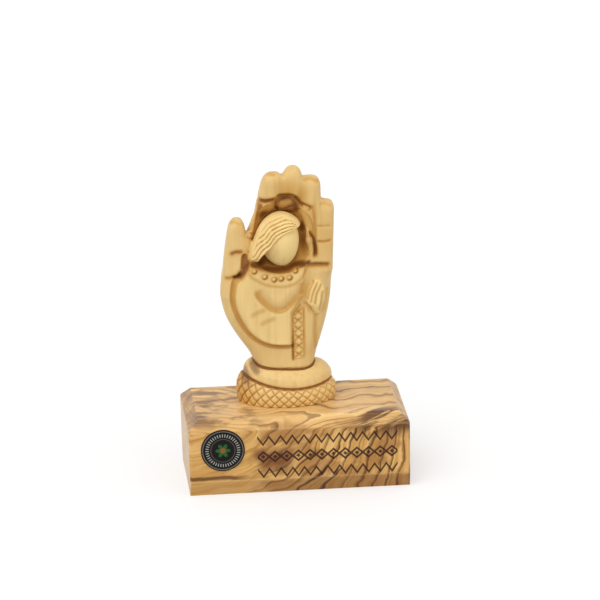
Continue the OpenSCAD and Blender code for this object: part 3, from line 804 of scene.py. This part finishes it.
def carving_shade_and_tone(clay, reliefs, points):
    """How dark the wood is painted at each point, most of it painted shade in grooves, recesses and the
    hollow: 0 is bare, 1 is darkest, and less than 0 is paler.
    """
    x, y, z = points.T
    to_hair, to_face = hair(x, y, z), face(x, y, z)
    off_hair = ease(to_hair, 0.1, 0.6)
    off_head = np.minimum(off_hair, ease(to_face, 0.1, 0.6))
    layers = [sum(relief.at(relief.painted_shade_and_tone, clay, points) for relief in reliefs) * off_head]
    paler = sum(relief.at(relief.pale, clay, points) for relief in reliefs) * off_head
    paler += FACE_PALER * (off_hair - off_head) + HAIR_PALER * (1.0 - off_hair)
    # Painted shade on the hollow's walls, darker close to the head
    beside = fade(np.minimum(to_hair, to_face), 0.4, HEAD_SHADE_REACH)
    # Weaker low in the hollow
    beside *= 0.15 + 0.85 * ease(z, 64.0, 74.0)
    for middle, radii, dark in HOLLOWS:
        wall = fade(hollow(middle, radii)(x, y, z), -0.6, 0.5)
        layers.append((dark + (HEAD_SHADE - dark) * beside) * off_head * wall)
    # Painted shade in the cuts by the hollow
    for *gap, dark in HOLLOW_CUTS:
        layers.append(dark * off_head * fade(rod(*gap)(x, y, z), 0.0, 0.7))
    # Painted shade in the hollow behind its front edge and along its lower rim
    front = np.interp(z, (66.0, 72.0), (-14.0, -12.0))
    rear = np.interp(z, (80.0, 88.0), (1.0, -3.0))
    behind_front = ease(y - front, 0.0, 2.0) * fade(y - rear, 0.0, 1.4) * off_head
    for middle, reach, dark in HOLLOW_SHADES:
        layers.append(dark * spot(x, z, middle, reach) * behind_front)
    layers.append(RIM_SHADE * bell(path_distance(x, z, RIM), RIM_REACH) * behind_front)
    # Painted shade in the gap beside the thumb
    layers.append(THUMB_GAP_SHADE * fade(rod(*THUMB_GAP)(x, y, z), 0.0, 0.8))
    # Painted shade between the locks of hair
    between_locks = ease(hair_strand(x, z), 0.1, 0.7) * ease(-y, 8.6, 10.6)
    layers.append(LOCK_SHADE * (1.0 - off_hair) * between_locks)
    # Painted shade in recesses, from how much wood is round each place
    for reach, full, dark, on_head in RECESSES:
        crowded = ease(sampled(clay.crowding(reach), clay.cells(points)), RECESS_START, full)
        layers.append((on_head + (1.0 - on_head) * off_head) * crowded * dark)
    painted_shade_and_tone = np.maximum.reduce(layers)
    # Less painted shade on the ridges in the hollow
    for *ridge, kept in HOLLOW_RIDGES:
        painted_shade_and_tone *= kept + (1.0 - kept) * ease(rod(*ridge)(x, y, z), 0.1, 0.7)
    # On the lattice: browner towards the thumb's side, and painted shade in its cuts
    on_lattice = (z < lattice_height(x, y)) & (np.hypot((x - LATTICE_SHIFT) / 20, y / 13.4) > 0.97)
    aged = 0.22 * ease(-x, 12.0, 20.0)
    in_cuts = (0.46 - 0.14 * ease(x, 6.0, 16.0)) * lattice_cut(x, y, z)
    painted_shade_and_tone = np.where(on_lattice, np.maximum(0.4 * painted_shade_and_tone, aged + in_cuts), painted_shade_and_tone)
    # Painted shade in the cuff's groove and along the wrist line
    in_groove = GROOVE_SHADE * fade(cuff_groove(x, y, z), 0.45, 0.95)
    on_wrist = WRIST_SHADE * fade(wrist_line(x, y, z), 0.25, 0.65)
    return np.maximum.reduce([painted_shade_and_tone, in_groove, on_wrist]) - paler


def put(name, data):
    """A new object in the scene."""
    made = bpy.data.objects.new(name, data)
    bpy.context.scene.collection.objects.link(made)
    return made


def build_carving():
    clay = Clay(GRID_LOW, GRID_HIGH, VOXEL)
    build_hand(clay)
    reliefs = front_relief(clay), back_relief(clay)
    for relief in reliefs:
        relief.carve(clay)
    build_head(clay)
    build_cuff(clay)
    points, faces = clay.skin()

    mesh = bpy.data.meshes.new("hand_carving_wood")
    mesh.from_pydata((points * MM + np.array(FOOT)).tolist(), [], faces.tolist(), shade_flat=False)
    paint = mesh.attributes.new("painted_shade_and_tone", "FLOAT", "POINT")
    paint.data.foreach_set("value", carving_shade_and_tone(clay, reliefs, points).astype(np.float32))
    return put("hand_carving_wood", mesh)


# Materials

def srgb(*colour):
    """A colour given as seen on a screen, 0 to 255, as the shaders take it."""
    v = np.array(colour) / 255.0
    return (*np.where(v <= 0.04045, v / 12.92, ((v + 0.055) / 1.055) ** 2.4).tolist(), 1.0)


class Value:
    """A number in a shader, which takes part in sums."""

    def __init__(self, shader, socket):
        self.shader, self.socket = shader, socket

    def apply(self, operation, *others):
        made = self.shader.node("Math", dict(enumerate((self, *others))), operation=operation)
        return Value(self.shader, made.outputs[0])

    __add__ = partialmethod(apply, "ADD")
    __sub__ = partialmethod(apply, "SUBTRACT")
    __mul__ = partialmethod(apply, "MULTIPLY")
    __truediv__ = partialmethod(apply, "DIVIDE")
    __abs__ = partialmethod(apply, "ABSOLUTE")
    fraction = partialmethod(apply, "FRACT")
    most = partialmethod(apply, "MAXIMUM")

    def __neg__(self):
        return self * -1.0

    def rest(self):
        """1 less this."""
        return -self + 1.0

    def ease(self, low, high):
        """0 at low, 1 at high, and smooth between them."""
        links = {"Value": self, "From Min": low, "From Max": high}
        made = self.shader.node("MapRange", links, interpolation_type="SMOOTHSTEP")
        return Value(self.shader, made.outputs["Result"])

    def fade(self, low, high):
        """1 at low, 0 at high, and smooth between them."""
        return self.ease(low, high).rest()


class Shader:
    """A material or the world's light, and short calls that add and join its nodes."""

    def __init__(self, name, world=False, **values):
        self.owner = (bpy.data.worlds if world else bpy.data.materials).new(name)
        self.owner.use_nodes = True
        self.tree = self.owner.node_tree
        self.surface = self.tree.nodes["Background" if world else "Principled BSDF"]
        for key, value in values.items():
            self.surface.inputs[key.replace("_", " ")].default_value = value

    def join(self, value, socket):
        """Sets a socket to a number, a colour as seen on a screen, or what another socket gives."""
        value = value.socket if isinstance(value, Value) else value
        value = srgb(*value) if isinstance(value, tuple) else value
        if isinstance(value, bpy.types.NodeSocket):
            self.tree.links.new(value, socket)
        else:
            socket.default_value = value

    def node(self, kind, links, **values):
        made = self.tree.nodes.new("ShaderNode" + kind)
        for key, value in values.items():
            setattr(made, key, value)
        for key, value in links.items():
            self.join(value, made.inputs[key])
        return made

    def place(self):
        """Where a point is, across, deep and up, in millimetres."""
        where = self.node("TexCoord", {}).outputs["Object"]
        parts = self.node("SeparateXYZ", {"Vector": where}).outputs
        return [Value(self, part) / MM for part in parts]

    def noise(self, x, y, z, detail=2.0, roughness=0.5):
        where = self.node("CombineXYZ", {"X": x, "Y": y, "Z": z}).outputs[0]
        links = {"Vector": where, "Scale": 1.0, "Detail": detail, "Roughness": roughness}
        return Value(self, self.node("TexNoise", links).outputs["Fac"])

    def lot(self, number):
        """A number from 0 to 1 drawn for each whole number."""
        made = self.node("TexWhiteNoise", {"W": number.apply("FLOOR")}, noise_dimensions="1D")
        return Value(self, made.outputs["Value"])

    def ramp(self, factor, *stops):
        made = self.node("ValToRGB", {"Fac": factor})
        ends = made.color_ramp.elements
        while len(ends) < len(stops):
            ends.new(0.5)
        for end, (at, colour) in zip(ends, stops):
            end.position = at
            end.color = srgb(*colour)
        return made.outputs["Color"]

    def mix(self, factor, a, b):
        return self.node("Mix", {0: factor, 6: a, 7: b}, data_type="RGBA").outputs[2]

    def coats(self, colour, *layers):
        """A colour with others laid over it, each as far as its amount says."""
        for amount, layer in layers:
            colour = self.mix(amount, colour, layer)
        return colour

    def set(self, key, value):
        self.join(value, self.surface.inputs[key])

    def done(self, colour, roughness, height, strength, distance):
        """The material, with its colour, roughness and bumps joined to its surface."""
        self.set("Base Color", colour)
        self.set("Roughness", roughness)
        links = {"Height": height, "Strength": strength, "Distance": distance}
        self.set("Normal", self.node("Bump", links).outputs[0])
        return self.owner


# Dark heartwood on the thumb's side of the cuff: its middle from the foot, length, width and strength
HEARTS = (((-13.8, 17.8), 4, 2.6, 0.75), ((-18.2, 13.4), 4.8, 3.2, 0.7))
HEART_RUN = (-0.41, 0.91)
# The share of the colour ramp below bare wood, for paler places
PALE_SHARE = 0.2


def pale_wood():
    s = Shader("pale_wood", Specular_IOR_Level=0.32)
    x, y, z = s.place()
    grain = s.noise(x * 0.45, y * 0.45, z * 0.022, 3.0, 0.6)
    cloud = s.noise(x * 0.05, y * 0.05, z * 0.02)
    fibre = s.noise(x * 2.6, y * 2.6, z * 0.09)
    painted_shade_and_tone = Value(s, s.node("Attribute", {}, attribute_name="painted_shade_and_tone").outputs["Fac"])
    painted_shade_and_tone = painted_shade_and_tone + (cloud - 0.5) * 0.16 + (grain - 0.5) * 0.16
    # The ramp's darker end is painted shade, its paler end paler wood and painted highlight
    wood = s.ramp(
        painted_shade_and_tone * (1.0 - PALE_SHARE) + PALE_SHARE,
        (0.0, (255, 226, 152)), (PALE_SHARE, (226, 190, 124)), (0.4, (207, 159, 82)),
        (0.68, (150, 97, 39)), (1.0, (70, 36, 14)),
    )
    wood = s.mix(grain.ease(0.52, 0.74) * 0.15, wood, (178, 122, 60))
    in_front = y.fade(0.0, 6.0)
    for (heart_x, heart_z), length, width, strength in HEARTS:
        across = x - heart_x - FOOT[0] / MM
        up = z - heart_z - FOOT[2] / MM
        lengthways = (across * HEART_RUN[0] + up * HEART_RUN[1]) / length
        aside = (across * HEART_RUN[1] - up * HEART_RUN[0]) / width + (cloud - 0.5) * 1.6
        heart = (lengthways * lengthways + aside * aside + (grain - 0.5) * 1.2).fade(0.0, 1.3) * in_front
        wood = s.mix(heart * strength, wood, (112, 72, 46))
    return s.done(wood, grain * 0.18 + 0.36, grain + fibre * 0.5, 0.12, 0.0002)


# The block's growth lines, their spacing and how they run, its sides and the heights of its bevels
RING, TOP_RING = 11.0, 10.0
RING_SPREAD, RING_RISE, RING_FAN = 0.010, 1.2, 0.030
BLOCK_LEFT, BLOCK_FRONT, BLOCK_TOP = BLOCK_LOW[0] / MM, BLOCK_LOW[1] / MM, BLOCK_HIGH[2] / MM
TOP_EDGE, FOOT_EDGE = BLOCK_TOP - 4.5, 7.2

# Heights and half heights of the zigzags and the chain of the ornament, then its ends and its step
ZIGZAGS, ZIGZAG_HALF, CHAIN, CHAIN_HALF = (25.6, 10.4), 1.9, 18.0, 2.3
ORNAMENT_LEFT, ORNAMENT_RIGHT, ORNAMENT_STEP = -18.0, 44.4, 5.2


def ornament(s, x, y, z):
    """Two zigzag lines with a chain of diamonds between them, burnt into the block's front."""
    step = ((x - ORNAMENT_LEFT) / ORNAMENT_STEP).fraction()
    peak = abs(step * 2.0 - 1.0)
    off = abs((z - CHAIN) / CHAIN_HALF)
    chain = (abs(off + peak - 1.0) * CHAIN_HALF).fade(0.42, 0.75)
    crossing = (off * 1.1 + peak.rest()).fade(0.28, 0.42)
    centre = (off * 0.9 + peak).fade(0.3, 0.42)
    marks = chain.most(crossing).most(centre)
    for middle in ZIGZAGS:
        up = (z - middle) / ZIGZAG_HALF
        marks = marks.most((abs(up - peak * 2.0 + 1.0) * ZIGZAG_HALF).fade(0.5, 0.9))
    between_ends = (x - ORNAMENT_LEFT).ease(0.0, 0.2) * (x - ORNAMENT_RIGHT).fade(-0.2, 0.0)
    on_front = (y - BLOCK_FRONT).fade(0.05, 0.15)
    return marks * between_ends * on_front


# The rings on the block's sawn left end: their middle, deep and up, and their spacing
PITH_DEEP, PITH_UP, END_RING = 34.0, -22.0, 2.3


def end_grain(s, y, z, quick):
    """The colour of the sawn end: real growth rings, cloudy patches and pores, on a base painted paler as
    painted light on this end.
    """
    deep, up = y - PITH_DEEP, z - PITH_UP
    ring = (deep * deep + up * up).apply("SQRT") / END_RING + quick * 2.4
    turn = ring.fraction()
    late = turn.ease(0.3, 0.92) * turn.fade(0.92, 1.0) * (s.lot(ring) * 0.6 + 0.4)
    cloud = s.noise(y * 0.08, z * 0.1, 0.0, 3.0, 0.6).ease(0.42, 0.66)
    pores = s.noise(y * 2.4, z * 2.4, 0.0, 1.0).ease(0.58, 0.72)
    return s.coats(
        (222, 190, 148),
        (cloud * 0.5, (190, 152, 112)), (late * 0.55, (168, 118, 68)), (pores * 0.35, (132, 90, 52)),
    )


def figured_wood():
    s = Shader("figured_wood", Specular_IOR_Level=0.22)
    x, y, z = s.place()
    slow = s.noise(x * 0.03, y * 0.02, z * 0.045) - 0.5
    quick = s.noise(x * 0.11, y * 0.07, z * 0.12) - 0.5
    from_left = x - BLOCK_LEFT
    side = from_left * from_left * RING_SPREAD - z * (x * -RING_FAN + RING_RISE) + (y - BLOCK_FRONT) * 1.3
    level = y * 0.95 + x * 0.14
    on_top = z.ease(BLOCK_TOP - 6.0, BLOCK_TOP)
    wave = slow * (on_top * 1.4 + 2.6) + quick * 0.9
    ring = side / RING * on_top.rest() + level / TOP_RING * on_top + wave
    run = x + z * 0.8
    streak = s.noise(ring * 2.2, run * 0.014, y * 0.01, 4.0, 0.6)
    fibre = s.noise(ring * 13.0, run * 0.06, y * 0.05)
    patch = s.noise(x * 0.045, y * 0.05, z * 0.07, 3.0, 0.6)
    zone = (x + quick * 30.0).ease(-28.0, -6.0).most(on_top * 0.5) * 0.88 + 0.12

    bold = s.noise(ring.apply("FLOOR") * 7.3, run * 0.05, y * 0.05)
    turn = ring.fraction()
    thick = (turn + bold * 0.5).ease(0.92, 1.2) * turn.fade(0.93, 1.0)
    line = thick * (s.lot(ring) * 0.5 + 0.55)
    fine_ring = ring * 2.0 + 0.37 + quick * 0.6
    fine_turn = fine_ring.fraction()
    fine = fine_turn.ease(0.78, 0.95) * fine_turn.fade(0.95, 1.0) * s.lot(fine_ring)
    fine = fine * (on_top * -0.3 + 0.6)
    knot_line = abs(z - 8.2 + slow * 5.0 + quick * 1.6).fade(0.4, 1.6)
    knot_line = knot_line * x.fade(-30.0, -16.0) * 0.8
    blotch_x, blotch_z = x + 11.0, z - 16.0
    blotch = (blotch_x * blotch_x / 110.0 + blotch_z * blotch_z / 70.0 + quick * 2.0).fade(0.1, 1.2)
    near_front = (y - BLOCK_FRONT).fade(5.0, 14.0)
    flare = z.ease(22.0, 30.0) * x.ease(20.0, 32.0) * near_front
    slant = (x * 0.4 - z * 0.67 - y * 0.67) * 0.36
    dark_streak = s.noise(slant, run * 0.04, y * 0.05, 3.0) + (fibre - 0.5) * 0.2
    band = patch.ease(0.47, 0.62) * zone * 0.55 * (on_top * -0.7 + 1.0)
    grey = s.noise(x * 0.06, y * 0.14, 0.0, 3.0, 0.6).ease(0.46, 0.62) * on_top * x.fade(-24.0, -8.0)

    wood = s.ramp(
        streak + (fibre - 0.5) * 0.22,
        (0.25, (178, 120, 58)), (0.45, (213, 163, 91)), (0.62, (233, 187, 117)),
        (0.8, (244, 207, 147)),
    )
    # Painted shade on the foot bevel
    foot_shade = z.fade(FOOT_EDGE - 2.0, FOOT_EDGE + 1.0) * 0.55
    # Painted highlight along the edges of the foot and top bevels
    edge_highlight = abs(z - FOOT_EDGE).fade(0.2, 0.7).most(abs(z - TOP_EDGE).fade(0.2, 0.7))
    facing = s.node("NewGeometry", {}).outputs["Normal"]
    left_end = -Value(s, s.node("SeparateXYZ", {"Vector": facing}).outputs["X"])
    # Grey-brown patches on the bevels near the top that face partly left
    on_end_bevel = left_end.ease(0.3, 0.6) * left_end.fade(0.75, 0.9) * z.ease(TOP_EDGE - 0.5, TOP_EDGE)
    bevel_patches = s.noise(x * 0.1, y * 0.12, z * 0.1, 3.0, 0.6).ease(0.4, 0.6)
    burnt = ornament(s, x, y, z)
    wood = s.coats(
        wood,
        (on_top * 0.22, (255, 226, 172)),
        # Dark figure bands, and the painted shade on the foot bevel
        (band.most(foot_shade * zone), (140, 82, 32)),
        (blotch * 0.9, (116, 62, 28)),
        (grey * 0.8, (120, 84, 62)),
        (flare * dark_streak.ease(0.43, 0.58) * 0.9, (90, 50, 28)),
        (fine * zone, (116, 66, 28)),
        ((line * zone).most(knot_line), (76, 38, 15)),
        (edge_highlight * 0.13, (240, 210, 160)),
        (on_end_bevel * (bevel_patches * 0.5 + 0.1), (128, 92, 70)),
        # The sawn left end, its pale base painted light
        (left_end.ease(0.75, 0.95) * 0.92, end_grain(s, y, z, quick)),
        (burnt * 0.92, (52, 26, 20)),
    )
    return s.done(wood, fibre * 0.2 + burnt * 0.3 + 0.26, fibre - burnt * 1.5, 0.08, 0.0002)


# The label's radius and middle, and how many petals and ticks it has
LABEL_RADIUS = (LABEL_HIGH[0] - LABEL_LOW[0]) / 2 / MM
LABEL_X, _, LABEL_Z = np.add(LABEL_LOW, LABEL_HIGH) / 2 / MM
PETALS, TICKS = 6, 40


def label_black():
    """Black gloss with a pale ring, a ring of ticks and a green rosette."""
    s = Shader("label_black", Specular_IOR_Level=0.15, Coat_Weight=0.03, Coat_Roughness=0.1)
    x, _, z = s.place()
    across, up = (x - LABEL_X) / LABEL_RADIUS, (z - LABEL_Z) / LABEL_RADIUS
    radius = (across * across + up * up).apply("SQRT")
    angle = up.apply("ARCTAN2", across)
    speck = s.noise(x * 3.0, z * 3.0, 0.0, 3.0)
    petal = abs((angle * (PETALS / 2)).apply("COSINE")) * 0.2 + 0.14
    leaf = (radius - petal).fade(-0.03, 0.03)
    vein = abs((angle * (PETALS / 2)).apply("SINE")).ease(0.06, 0.16) * 0.6 + 0.4
    tick = (angle * TICKS).apply("COSINE").ease(0.2, 0.6) * abs(radius - 0.72).fade(0.06, 0.09)
    ring = abs(radius - 0.92).fade(0.014, 0.03)
    inner = abs(radius - 0.55).fade(0.012, 0.026) * 0.5
    black = s.ramp(speck, (0.3, (6, 5, 4)), (0.75, (20, 17, 15)))
    green = s.mix(vein, (18, 50, 22), (40, 96, 44))
    ink = s.coats(
        black,
        (leaf, green),
        (radius.fade(0.1, 0.14), (150, 84, 40)),
        (ring.most(inner) * 0.5, (150, 144, 132)),
        (tick * 0.75, (190, 188, 182)),
    )
    return s.done(ink, speck * 0.15 + 0.3, speck, 0.04, 0.0001)


def screw_steel():
    s = Shader("screw_steel", Metallic=1.0)
    x, y, z = s.place()
    turned_marks = s.noise(x * 0.6, y * 0.6, z * 6.0, 3.0)
    tint = s.noise(x * 0.3, y * 0.3, z * 0.1)
    steel = s.ramp(tint, (0.3, (196, 192, 176)), (0.7, (214, 214, 212)))
    return s.done(steel, turned_marks * 0.25 + 0.22, turned_marks, 0.1, 0.0001)


# The pieces

# Edges sharper than this, in degrees, are softened
SOFT_ABOVE = 25


def dress(node, material, edge):
    """Gives a CAD node its material, and a soft edge of the given width in millimetres."""
    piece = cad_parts[node]
    piece.data.materials.clear()
    piece.data.materials.append(material)
    soft = piece.modifiers.new("soft_edges", "BEVEL")
    soft.width = edge * MM
    soft.segments = 3
    soft.limit_method = "ANGLE"
    soft.angle_limit = math.radians(SOFT_ABOVE)
    soft.use_clamp_overlap = False
    soft.harden_normals = True


dress("base_block", figured_wood(), 0.5)
dress("round_label", label_black(), 0.1)
dress("fixing_screw", screw_steel(), 0.1)

carving = build_carving()
carving.data.materials.append(pale_wood())
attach(carving, "root")
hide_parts("hand_carving")


# Floor, light and camera

# White that the floor adds to what is seen of it, its reach in metres, and the studio's light
FLOOR_LIFT, FLOOR_REACH = 0.45, 4.0
STUDIO_LIGHT = 0.6


def seen(s):
    """1 for what the camera sees, also in a mirror or through glass, and 0 for light that falls on things."""
    path = s.node("LightPath", {}).outputs
    rays = [Value(s, path[f"Is {kind} Ray"]) for kind in ("Camera", "Glossy", "Transmission")]
    return rays[0].most(rays[1]).most(rays[2])


def build_stage():
    mesh = bpy.data.meshes.new("floor")
    corners = [(u * FLOOR_REACH, v * FLOOR_REACH, 0) for u, v in ((-1, -1), (1, -1), (1, 1), (-1, 1))]
    mesh.from_pydata(corners, [], [(0, 1, 2, 3)])
    floor = put("floor", mesh)
    grey, white = (0.55, 0.55, 0.55, 1.0), (1.0, 1.0, 1.0, 1.0)
    s = Shader("floor_white", Roughness=0.9, Base_Color=grey, Emission_Color=white)
    s.set("Emission Strength", seen(s) * FLOOR_LIFT)
    mesh.materials.append(s.owner)

    sky = Shader("studio", world=True, Color=white)
    sky.set("Strength", seen(sky) * (1.0 - STUDIO_LIGHT) + STUDIO_LIGHT)
    bpy.context.scene.world = sky.owner


def build_sun(name, towards, power, softness):
    light = bpy.data.lights.new(name, "SUN")
    light.energy = power
    light.angle = math.radians(softness)
    put(name, light).rotation_euler = (-Vector(towards)).to_track_quat("-Z", "Y").to_euler()


# The camera's place and what it looks at in millimetres, its roll in degrees, its focal length as a
# share of the picture's width, and its reach in metres
CAMERA_PLACE, CAMERA_TARGET = (-71.16, -996.55, 403.86), (4.322, 0.0, 81.847)
CAMERA_ROLL, CAMERA_FOCAL, CAMERA_REACH, SENSOR = -1.280, 2361.9 / 600.0, 20.0, 36.0


def build_camera():
    data = bpy.data.cameras.new("camera")
    data.sensor_width = SENSOR
    data.lens = SENSOR * CAMERA_FOCAL
    data.clip_end = CAMERA_REACH
    camera = put("camera", data)
    place, target = Vector(CAMERA_PLACE) * MM, Vector(CAMERA_TARGET) * MM
    aim = (target - place).to_track_quat("-Z", "Y").to_matrix().to_4x4()
    camera.matrix_world = Matrix.Translation(place) @ aim @ Matrix.Rotation(math.radians(CAMERA_ROLL), 4, "Z")
    bpy.context.scene.camera = camera


build_stage()
build_sun("key", (-0.38, -0.56, 0.76), 1.28, 50.0)
build_sun("fill", (0.74, -0.56, 0.45), 0.6, 60.0)
build_sun("side", (-1.0, -0.1, 0.3), 0.36, 60.0)
build_camera()
bpy.context.scene.view_settings.view_transform = "Standard"
